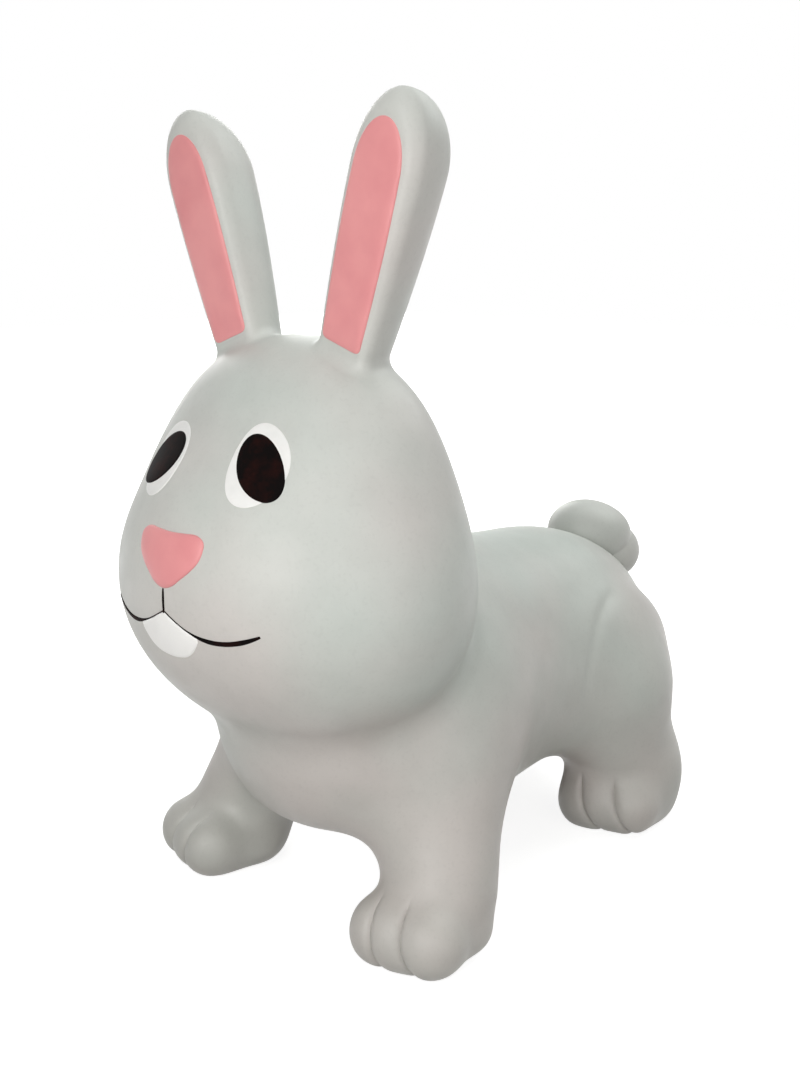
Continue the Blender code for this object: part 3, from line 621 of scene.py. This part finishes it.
def tail_puffs(points):
    """Two flattened balls run together, with a third folded sharply against them."""
    upper = lobe(points, (-0.003, 0.192, 0.2215), (0.0285, 0.0285, 0.02508))
    side = lobe(points, (0.0055, 0.2115, 0.2155), (0.025, 0.025, 0.022))
    lower = lobe(points, (0.004, 0.2205, 0.1995), (0.0295, 0.0295, 0.02596))
    return joined(joined(upper, side, 0.020), lower, 0.0015)


points, faces = blown_ball(
    (-0.003, 0.192, 0.2215), (0.004, 0.2205, 0.1995), count(150), count(110), tail_puffs, 0.06
)
tail = new_mesh("folded_tail", points, faces)
piece = show("folded_tail", tail, tail_puffs, grey_pvc, "grey_skin", "tail")
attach(piece, "torso")

# Head
# The inflated head: a narrow crown over full cheeks with a broad muzzle, one skin with the neck. The
# face is moulded smooth, and what is on it is laid on or painted.
cuts = [(neck_high, -neck_normal)]
points, faces = blown_ball(
    (0, -0.1445, 0.241), (0, -0.1305, 0.3445), count(280), count(200), kept_short(skin, cuts), 0.2
)
head = new_mesh("head_skin", points, faces)
cut_at(head, cuts, skin)
piece = show("head_skin", head, skin, grey_pvc, "grey_skin", "head")
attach(piece, "head")

# Ears
# Two long round clubs that the child holds on to, cut flat in front. Each is moulded on through a
# narrow root, bends there, and carries a pink panel that fills its flat front up to the edge.
ear_root = np.array([0.0468, -0.142, 0.386])
ear_tip = np.array([0.0871, -0.142, 0.5044])
ear_length = np.linalg.norm(ear_tip - ear_root)
ear_line = (ear_tip - ear_root) / ear_length
ear_out = np.array([ear_line[2], 0, -ear_line[0]])
root_length = 0.046
ear_high = ear_root + ear_line * root_length
root_radius = 0.0207
swelling = 0.0073
widest_at = 1.11
below_root = 0.2
top_squeeze = 0.606
back_squeeze = 0.69
front_squeeze = 1.6
front_y = -0.1492
front_lean = 0.037
front_rounding = 0.003
ear_blend = 0.008


def ear_club(points):
    """Length of the way to the ear's line less a radius that widens with the sine of the way up, with
    the depth behind the line, the depth before it and the rise past its end each on their own scale."""
    away = points - ear_root
    rise = away @ ear_line
    share = np.clip(rise / ear_length, -below_root, 1)
    over = (rise - share * ear_length) * top_squeeze
    depth = away[..., 1] * np.where(away[..., 1] > 0, back_squeeze, front_squeeze)
    radius = root_radius + swelling * np.sin(share / widest_at * pi / 2)
    return np.sqrt((away @ ear_out) ** 2 + over**2 + depth**2) - radius


def ear_front(points):
    """Depth before the flat front, a plane that leans forward on its way up."""
    return front_y - front_lean * (points[..., 2] - ear_root[2]) - points[..., 1]


def ear_shape(points):
    """The club cut by the flat front, with a narrow rounding; both sides alike."""
    points = points * 1.0
    points[..., 0] = np.abs(points[..., 0])
    return trimmed(ear_club(points), ear_front(points), front_rounding)


def crown_and_ear(points):
    """The ear run into the crown."""
    return joined(skull(points), ear_shape(points), ear_blend)


cuts = [(ear_high, -ear_line)]
points, faces = blown_ball(ear_high, ear_tip, count(150), count(130), kept_short(ear_shape, cuts), 0.09)
left_ear = new_mesh("left_ear_skin", points, faces)
cut_at(left_ear, cuts, ear_shape)


def root_of_ear(columns, rings):
    """Rings round the ear's line. Above, each lies on the ear at an even height. Below, where ear and
    head run together, each ring joins the points with one difference between the two distances, found
    by Newton steps in radius and height. The last ring goes 0.3 mm under the head's skin."""
    u = np.linspace(0, 2 * pi, columns, endpoint=False)
    ray = np.cos(u)[:, None] * ear_out + np.sin(u)[:, None] * np.array([0, 1.0, 0])

    def place(radius, height):
        return ear_root + height[..., None] * ear_line + radius[..., None] * ray

    def wall(height):
        starts = (ear_root + height[..., None] * ear_line).reshape(-1, 3)
        directions = np.broadcast_to(ray, height.shape + (3,)).reshape(-1, 3)
        found = blown(starts, directions, ear_shape, 0.06).reshape(height.shape + (3,))
        return found, np.linalg.norm(found - starts.reshape(height.shape + (3,)), axis=-1)

    heights = np.linspace(-0.018, root_length, 80)[:, None] + np.zeros(columns)
    spots, radii = wall(heights)
    over_head = skull(spots)
    first = np.argmax(over_head > ear_blend, axis=0)
    k = np.arange(columns)
    before, after = over_head[first - 1, k], over_head[first, k]
    step = (ear_blend - before) / (after - before)
    height = heights[first - 1, k] + step * (heights[first, k] - heights[first - 1, k])
    radius = radii[first - 1, k] + step * (radii[first, k] - radii[first - 1, k])
    share = np.linspace(1, 0, rings)[:, None]
    upper, _ = wall(height + share * (root_length - height))
    rows = [upper[0] + ear_line * tuck - outwards(upper[0], ear_shape) * tuck_sink, *upper]
    nudge = 1e-5
    for difference in -ear_blend * np.cos(np.linspace(0, pi * 0.86, 17))[1:]:
        deep = (1 - abs(difference) / ear_blend) ** 2 * ear_blend / 4
        ear_value = deep + max(difference, 0)
        head_value = deep + max(-difference, 0)
        for _ in range(8):
            spot = place(radius, height)
            miss = np.stack([ear_shape(spot) - ear_value, skull(spot) - head_value], -1)
            wider = place(radius + nudge, height)
            higher = place(radius, height + nudge)
            by_radius = np.stack([ear_shape(wider) - ear_value, skull(wider) - head_value], -1) - miss
            by_height = np.stack([ear_shape(higher) - ear_value, skull(higher) - head_value], -1) - miss
            grid = np.stack([by_radius, by_height], -1) / nudge
            move = np.clip(np.linalg.solve(grid, miss[..., None])[..., 0], -0.003, 0.003)
            radius, height = radius - move[:, 0], height - move[:, 1]
        rows.append(place(radius, height))
    rows.append(rows[-1] + ray * 0.0006 - outwards(rows[-1], skull) * 0.0004)
    points = np.vstack([*rows, [ear_high, rows[-1].mean(axis=0) - ear_line * 0.010]])
    return points, bag_faces(len(rows), columns)


points, faces = root_of_ear(count(150), count(24))
left_root = new_mesh("left_ear_root_skin", points, faces)

pinks = [(0.35, (0.765, 0.285, 0.295)), (0.65, (0.83, 0.335, 0.34))]
pink_paint, tree, shader = coat("pink_inner_ear", 0.4, 0.45, (30, 3), pinks, (1100, 2), 0.00005, 0.5)
sheen = ramp(tree, noise_on(tree, 120, 4), [(0.3, 0.34), (0.7, 0.46)])
tree.links.new(sheen, shader.inputs["Roughness"])

behind_face = -0.14
face_reach = 0.16
under_skin = 0.0006


def carried_forwards(flat, heights, shape):
    """Points in (x, z) carried forwards (-Y) from behind the face onto a shape, and lifted off it along
    its slope by their heights."""
    starts = np.stack([flat[:, 0], np.full(len(flat), behind_face), flat[:, 1]], -1)
    spots = blown(starts, np.tile((0, -1.0, 0), (len(flat), 1)), shape, face_reach)
    return spots + heights[:, None] * outwards(spots, shape)


def laid_on(outline, middle, shape, rings, lift):
    """A raised patch on the skin. The outline is its rim in (x, z). Each ring lies at a share of the
    way from the middle to the rim, and is lifted by a height that depends on the share. The back has
    the same rings at an even depth under the skin, so it bends along."""
    share = np.sin(np.linspace(0, pi / 2, rings + 1))[1:]
    heights = np.concatenate([lift(share), np.full(rings, -under_skin)])
    share = np.concatenate([share, share[::-1]])[:, None, None]
    flat = np.vstack([(middle + share * (outline - middle)).reshape(-1, 2), [middle, middle]])
    heights = np.concatenate([np.repeat(heights, len(outline)), [lift(0.0), -under_skin]])
    return carried_forwards(flat, heights, shape), bag_faces(2 * rings, len(outline))


def edged(thickness, edge):
    """A height that is even over a patch and falls off round its edge: one less the share to a power,
    rooted."""

    def lift(share):
        return thickness * np.sqrt(np.maximum(1 - share**edge, 0))

    return lift


def panel_outline(number):
    """The edge of the ear's flat front less a rim, closed below by a slanting edge, found from points
    up the ear's line."""
    rim = 0.0013
    corner = 0.004
    axis = ear_line[[0, 2]]
    low = ear_root[[0, 2]] + axis * 0.0155
    tip = ear_tip[[0, 2]]

    def inside(points):
        on_front = points * 1.0
        on_front[..., 1] += ear_front(points)
        return trimmed(ear_club(on_front) + rim, (low - points[..., [0, 2]]) @ axis, corner)

    angle = np.linspace(0, 2 * pi, number, endpoint=False)
    heading = np.stack([np.cos(angle), np.sin(angle)], -1)
    middle = (low + tip) / 2
    starts = middle + (np.linalg.norm(tip - low) / 2 * heading @ axis)[:, None] * axis
    starts = np.stack([starts[:, 0], np.zeros(number), starts[:, 1]], -1)
    heading = np.stack([heading[:, 0], np.zeros(number), heading[:, 1]], -1)
    return blown(starts, heading, inside, 0.09)[:, [0, 2]], middle


outline, middle = panel_outline(count(260))
points, faces = laid_on(outline, middle, crown_and_ear, count(40), edged(thickness=0.0021, edge=5))
left_panel = new_mesh("left_ear_panel", points, faces)
for side, flip in (("left", np.ones(3)), ("right", flip_x)):
    left = side == "left"
    mesh = left_ear if left else mirrored(left_ear, "right_ear_skin")
    piece = show(f"{side}_ear_skin", mesh, ear_shape, grey_pvc, "grey_skin", f"{side}_ear")
    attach(piece, f"{side}_ear")
    mesh = left_root if left else mirrored(left_root, "right_ear_root_skin")
    piece = show(f"{side}_ear_root_skin", mesh, crown_and_ear, grey_pvc, "grey_skin", f"{side}_ear_root")
    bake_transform(piece)
    mesh = left_panel if left else mirrored(left_panel, "right_ear_panel")
    piece = show(f"{side}_ear_panel", mesh, None, pink_paint, "pink_skin", f"{side}_inner_ear")
    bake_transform(piece)

# Eyes
# Each eye is two coats of paint, sprayed on the finished skin through a mask: an egg of white, and
# on it a leaning black pupil.
whites = [(0.3, (0.83, 0.83, 0.815)), (0.6, (0.88, 0.88, 0.865))]
white_paint, _, _ = coat("white_face_paint", 0.45, 0.4, (80, 3), whites, (700, 2), 0.00005, 0.5)
blacks = [(0.45, (0.0045, 0.0035, 0.0035)), (0.80, (0.022, 0.006, 0.005))]
black_paint, _, _ = coat("black_face_paint", 0.55, 0.02, (90, 4, 0.65), blacks, (500, 3), 0.00006, 0.6)


def leaning_egg(x, z, half_width, half_height, tilt, heavy, number):
    """An ellipse leaning by an angle; its lower end is drawn wider by the share heavy."""
    angle = np.linspace(0, 2 * pi, number, endpoint=False)
    up = half_height * np.sin(angle)
    across = half_width * np.cos(angle) * (1 - heavy * np.sin(angle))
    tilt = radians(tilt)
    return np.stack([x + across * cos(tilt) + up * sin(tilt), z + up * cos(tilt) - across * sin(tilt)], -1)


# The white and then the pupil of each eye, as leaning_egg takes them. The two were sprayed by hand, so
# the right one sits a little lower and wider.
eyes = {
    "left": ((0.0411, 0.3333, 0.0180, 0.0248, -32, 0.10), (0.0441, 0.3312, 0.0116, 0.0242, -48, -0.08)),
    "right": ((-0.0431, 0.3290, 0.0230, 0.0212, 31, 0.09), (-0.0483, 0.3273, 0.0147, 0.0239, 67, -0.10)),
}
white_coat = edged(thickness=0.0004, edge=30)
black_coat = edged(thickness=0.0008, edge=30)
for side, (white_egg, pupil_egg) in eyes.items():
    outline = leaning_egg(*white_egg, count(120))
    points, faces = laid_on(outline, np.array(white_egg[:2]), skull, count(24), white_coat)
    white = new_mesh(f"{side}_white_of_eye", points, faces)
    piece = show(f"{side}_white_of_eye", white, None, white_paint, "white_paint", f"{side}_eye_white")
    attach(piece, "head")
    outline = leaning_egg(*pupil_egg, count(110))
    points, faces = laid_on(outline, np.array(pupil_egg[:2]), skull, count(24), black_coat)
    pupil = new_mesh(f"{side}_black_pupil", points, faces)
    piece = show(f"{side}_black_pupil", pupil, None, black_paint, "black_paint", f"{side}_pupil")
    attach(piece, "head")

# Nose
# A low rounded triangle, moulded proud of the soft skin in the same PVC and painted the pink of the
# inner ears.


def smooth_loop(half, number):
    """A closed curve through the knots of a right half and their mirror images: between each two knots
    it is the Catmull-Rom cubic of the four nearest."""
    half = np.array(half)
    knots = np.vstack([half, half[-2:0:-1] * (-1, 1)])
    along = np.linspace(0, len(knots), number, endpoint=False)
    first = along.astype(int)
    share = (along - first)[:, None]
    a, b, c, d = (knots[(first + k) % len(knots)] for k in (-1, 0, 1, 2))
    return b + share / 2 * (c - a + share * (2 * a - 5 * b + 4 * c - d + share * (3 * (b - c) + d - a)))


outline = smooth_loop(
    [(0, 0.2578), (0.008, 0.2600), (0.015, 0.2650), (0.0225, 0.2710), (0.0278, 0.2770), (0.0298, 0.2835),
     (0.0287, 0.2889), (0.0222, 0.2922), (0.012, 0.2920), (0, 0.2916)], count(160)
)
points, faces = laid_on(outline, np.array([0, 0.279]), skull, count(30), edged(thickness=0.0028, edge=4))
piece = show("pink_nose", new_mesh("pink_nose", points, faces), None, pink_paint, "pink_skin", "nose")
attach(piece, "head")

# Tooth and mouth
# One front tooth, a low white pad under the lip, and the mouth drawn in black with a brush: a line
# down from the nose, and a smile that swells in its middle and runs out at the cheeks.
tooth_whites = [(0.3, (0.93, 0.93, 0.915)), (0.6, (0.97, 0.97, 0.955))]
tooth_paint, _, _ = coat("white_tooth_paint", 0.45, 0.4, (70, 3), tooth_whites, (700, 2), 0.00005, 0.5)
outline = smooth_loop(
    [(0, 0.2133), (0.011, 0.2145), (0.0175, 0.2172), (0.022, 0.2210), (0.0262, 0.2262), (0.0271, 0.2285),
     (0.0268, 0.2305), (0.0220, 0.2325), (0.0135, 0.2362), (0.005, 0.2405), (0, 0.2424)], count(140)
)
points, faces = laid_on(outline, np.array([0, 0.2265]), skull, count(24), edged(thickness=0.0009, edge=12))
tooth = new_mesh("front_tooth", points, faces)
piece = show("front_tooth", tooth, None, tooth_paint, "white_paint", "tooth")
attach(piece, "head")


def brush_line(path, half_width, height):
    """A stroke on the skin: along a path in (x, z), each cross-section is a low half round over the
    path's own width, with its back under the skin; both ends close to a point."""
    along = np.gradient(path, axis=0)
    across = np.stack([-along[:, 1], along[:, 0]], -1) / np.linalg.norm(along, axis=1)[:, None]
    columns = 16
    turn = np.linspace(0, 2 * pi, columns, endpoint=False)
    flat = path[:, None] + np.cos(turn)[None, :, None] * (half_width[:, None] * across)[:, None]
    lifts = np.where(np.sin(turn) > -0.01, height * np.maximum(np.sin(turn), 0) + 0.00005, -under_skin)
    flat = np.vstack([flat.reshape(-1, 2), path[[0, -1]]])
    lifts = np.concatenate([np.tile(lifts, len(path)), [-0.0002, -0.0002]])
    return carried_forwards(flat, lifts, skull), bag_faces(len(path), columns)


brush_height = 0.0004
lowest_at = 0.57
share = np.linspace(0, 1, count(90))
across = 0.001 + 0.0685 * share
sag = 0.0133 * np.sin(np.minimum(share / lowest_at, 1) * pi / 2)
corner = 0.0134 * np.maximum(share / lowest_at - 1, 0) ** 2
up = 0.243 - sag + corner
run_out = np.clip((0.0702 - across) / 0.012, 0, 1)
width = 0.0004 + 0.0012 * eased(0.016, 0.038, across) * np.sqrt(run_out)
for side, sign in (("left", 1), ("right", -1)):
    points, faces = brush_line(np.stack([across * sign, up], -1), width, brush_height)
    smile = new_mesh(f"{side}_smile_line", points, faces)
    piece = show(f"{side}_smile_line", smile, None, black_paint, "black_paint", f"{side}_mouth_line")
    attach(piece, "head")
up = np.linspace(0.2575, 0.2415, count(30))
width = 0.0011 * np.sin(pi * np.linspace(0.12, 0.88, len(up))) ** 0.5
points, faces = brush_line(np.stack([up * 0, up], -1), width, brush_height)
lip = new_mesh("line_under_nose", points, faces)
piece = show("line_under_nose", lip, None, black_paint, "black_paint", "lip_line")
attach(piece, "head")

# Studio
# A plain floor of white paper that runs on to a white surround. Four soft boxes light the rabbit
# from the camera's side, one from overhead and two from behind, over a faint even fill.
floor_white, tree, shader = finish("white_studio_floor", 0.8, 0.2)
shader.inputs["Base Color"].default_value = (0.42, 0.405, 0.395, 1)


def seen_directly(tree):
    """One for camera, glossy and transmission rays, nought for the rays that carry light on."""
    ray = node(tree, "ShaderNodeLightPath")
    either = node(tree, "ShaderNodeMath", operation="MAXIMUM")
    any_of = node(tree, "ShaderNodeMath", operation="MAXIMUM")
    tree.links.new(ray.outputs["Is Camera Ray"], either.inputs[0])
    tree.links.new(ray.outputs["Is Glossy Ray"], either.inputs[1])
    tree.links.new(either.outputs[0], any_of.inputs[0])
    tree.links.new(ray.outputs["Is Transmission Ray"], any_of.inputs[1])
    return any_of.outputs[0]


# To the camera the floor is half paper, which keeps the rabbit's shadow, and half glow. Further off
# the glow takes over, so the floor runs into the white without a horizon.
paper = node(tree, "ShaderNodeBsdfDiffuse", Color=(0.9, 0.9, 0.9, 1))
glow = node(tree, "ShaderNodeEmission", Color=(1, 1, 1, 1), Strength=1.7)
where = node(tree, "ShaderNodeTexCoord")
away = node(tree, "ShaderNodeVectorMath", operation="LENGTH")
tree.links.new(where.outputs["Object"], away.inputs[0])
far_off = node(tree, "ShaderNodeMapRange", interpolation_type="SMOOTHSTEP")
tree.links.new(away.outputs["Value"], far_off.inputs["Value"])
for name, value in (("From Min", 0.35), ("From Max", 1.1), ("To Min", 0.5), ("To Max", 1.0)):
    far_off.inputs[name].default_value = value
half_glow = node(tree, "ShaderNodeMixShader")
tree.links.new(far_off.outputs[0], half_glow.inputs["Fac"])
tree.links.new(paper.outputs[0], half_glow.inputs[1])
tree.links.new(glow.outputs[0], half_glow.inputs[2])
blend = node(tree, "ShaderNodeMixShader")
tree.links.new(seen_directly(tree), blend.inputs["Fac"])
tree.links.new(shader.outputs[0], blend.inputs[1])
tree.links.new(half_glow.outputs[0], blend.inputs[2])
tree.links.new(blend.outputs[0], tree.nodes["Material Output"].inputs["Surface"])
ground = bpy.data.meshes.new("studio_floor")
ground.from_pydata([(-6, -6, 0), (6, -6, 0), (6, 6, 0), (-6, 6, 0)], [], [(0, 1, 2, 3)])
ground.materials.append(floor_white)
floor = bpy.data.objects.new("studio_floor", ground)
bpy.context.scene.collection.objects.link(floor)

world = bpy.data.worlds.new("studio_surround")
world.use_nodes = True
tree = world.node_tree
fill = tree.nodes["Background"]
fill.inputs["Color"].default_value = (0.98, 1.0, 1.0, 1)
fill.inputs["Strength"].default_value = 0.08
backdrop = node(tree, "ShaderNodeBackground", Color=(1, 1, 1, 1), Strength=1.0)
blend = node(tree, "ShaderNodeMixShader")
tree.links.new(seen_directly(tree), blend.inputs["Fac"])
tree.links.new(fill.outputs[0], blend.inputs[1])
tree.links.new(backdrop.outputs[0], blend.inputs[2])
tree.links.new(blend.outputs[0], tree.nodes["World Output"].inputs["Surface"])
bpy.context.scene.world = world


def soft_light(name, place, aim, width, watts, colour):
    """A flat square light at a place, turned so that it faces the aim."""
    light = bpy.data.lights.new(name, "AREA")
    light.shape = "SQUARE"
    light.size = width
    light.energy = watts
    light.color = colour
    lamp = bpy.data.objects.new(name, light)
    lamp.location = place
    away = np.array(place, float) - np.array(aim, float)
    flat = np.hypot(away[0], away[1])
    lamp.rotation_euler = (np.arctan2(flat, away[2]), 0, np.arctan2(away[0], -away[1]))
    bpy.context.scene.collection.objects.link(lamp)


soft_light("key_softbox", (0.58, -1.0, 0.55), (0, 0, 0.3), 0.6, 3.0, (1.0, 0.99, 0.975))
soft_light("face_softbox", (0.20, -0.85, 0.40), (0, -0.15, 0.28), 0.5, 1.4, (1.0, 0.985, 0.965))
soft_light("high_softbox", (0.15, -0.80, 0.85), (0, -0.15, 0.35), 0.5, 1.5, (1.0, 0.995, 0.98))
soft_light("side_softbox", (1.10, -0.40, 0.50), (0, 0, 0.25), 0.8, 2.6, (1.0, 0.98, 0.965))
soft_light("top_softbox", (0.0, 0.05, 1.5), (0, 0.05, 0.2), 1.2, 4.0, (0.96, 1.0, 0.97))
soft_light("back_softbox", (0.3, 0.9, 1.2), (0, 0.1, 0.3), 1.0, 7.6, (0.96, 1.0, 0.97))
soft_light("far_softbox", (-1.0, 0.55, 0.75), (0, 0, 0.25), 0.9, 7.0, (1.0, 1.0, 0.985))

# The camera stands at the height of the face, to the rabbit's left, and looks a little down.
camera = bpy.data.cameras.new("photo_camera")
camera.lens = 42.66
camera.sensor_width = 36
camera.sensor_fit = "AUTO"
view = bpy.data.objects.new("photo_camera", camera)
view.location = (0.611, -0.6945, 0.46)
view.rotation_euler = (radians(90 - 12.8), 0, radians(43.04))
bpy.context.scene.collection.objects.link(view)
bpy.context.scene.camera = view
bpy.context.scene.view_settings.view_transform = "Standard"
